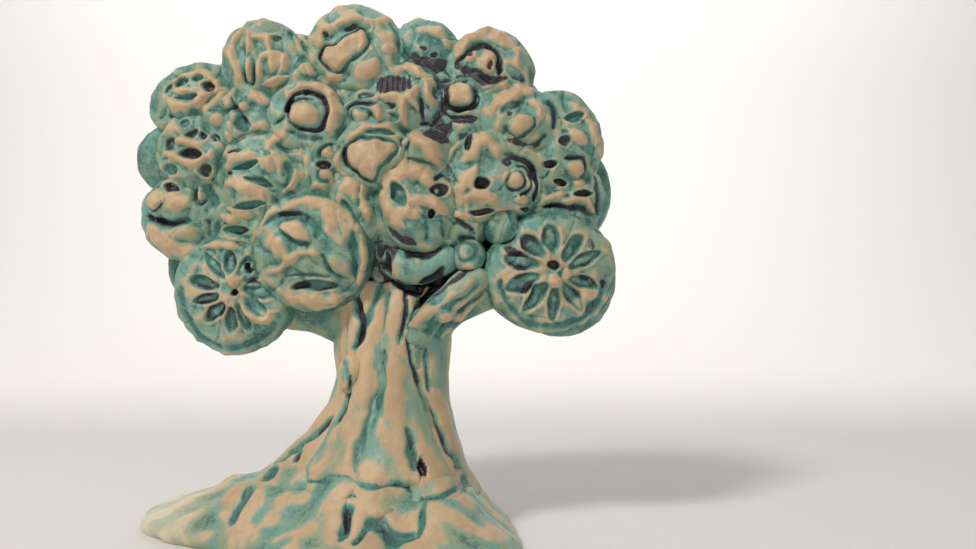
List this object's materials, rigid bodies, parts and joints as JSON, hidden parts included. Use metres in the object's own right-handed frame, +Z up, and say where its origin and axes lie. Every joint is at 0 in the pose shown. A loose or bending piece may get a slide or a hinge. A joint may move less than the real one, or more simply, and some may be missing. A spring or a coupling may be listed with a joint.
{
  "type": "tree of life sculpture",
  "caption": "Free-standing fired clay tree of life: a crown of stamped clay pads on a strand-built trunk that flares into a spreading root foot.",
  "frame": {"origin": "on the underside of the foot, on the trunk's axis", "axes": "+Z up, the tree's height; the stamped front of the crown faces -Y; +X is to a viewer's right"},
  "size_m": [0.1659, 0.0926, 0.1762],
  "materials": {
    "clay_trunk": "satin fired clay, buff with a wiped teal wash in its grooves",
    "clay_pad": "satin fired clay, teal wash in the stamped recesses and buff on the raised edges",
    "clay_core": "satin fired clay under a dark teal and purple-black wash"
  },
  "bodies": {
    "root": {"back_pad_bud": "clay_pad", "back_pad_heart": "clay_pad", "back_pad_left_flower": "clay_pad", "back_pad_left_mid": "clay_pad", "back_pad_right_flower": "clay_pad", "back_pad_right_mid": "clay_pad", "back_pad_rings": "clay_pad", "back_pad_spiral": "clay_pad", "back_pad_star": "clay_pad", "back_pad_sun": "clay_pad", "back_pad_top": "clay_pad", "ball_lower": "clay_pad", "ball_upper": "clay_pad", "branch_centre": "clay_trunk", "branch_left": "clay_trunk", "branch_right": "clay_trunk", "branch_right_inner": "clay_trunk", "crown_core": "clay_core", "foot_plate": "clay_trunk", "pad_centre_heart": "clay_pad", "pad_clover": "clay_pad", "pad_crescents": "clay_pad", "pad_curl": "clay_pad", "pad_folded": "clay_pad", "pad_hollow_knob": "clay_pad", "pad_honeycomb": "clay_pad", "pad_large_heart": "clay_pad", "pad_leaf_ball": "clay_pad", "pad_left_flower": "clay_pad", "pad_long_petal": "clay_pad", "pad_loops": "clay_pad", "pad_petal_knob": "clay_pad", "pad_pits": "clay_pad", "pad_ribbed": "clay_pad", "pad_ridge": "clay_pad", "pad_right_button": "clay_pad", "pad_right_flower": "clay_pad", "pad_right_petals": "clay_pad", "pad_right_rim": "clay_pad", "pad_ring_button": "clay_pad", "pad_rose_star": "clay_pad", "pad_small_eye": "clay_pad", "pad_small_fold": "clay_pad", "pad_square_button": "clay_pad", "pad_top_dark": "clay_pad", "pad_top_eye": "clay_pad", "pad_top_heart": "clay_pad", "root_back": "clay_trunk", "root_front_centre": "clay_trunk", "root_front_left": "clay_trunk", "root_front_right": "clay_trunk", "root_left": "clay_trunk", "root_right": "clay_trunk", "strand_back": "clay_trunk", "strand_centre_left": "clay_trunk", "strand_centre_right": "clay_trunk", "strand_left": "clay_trunk", "strand_right": "clay_trunk", "trunk_knot": "clay_trunk", "trunk_post": "clay_trunk"}
  },
  "joints": []
}
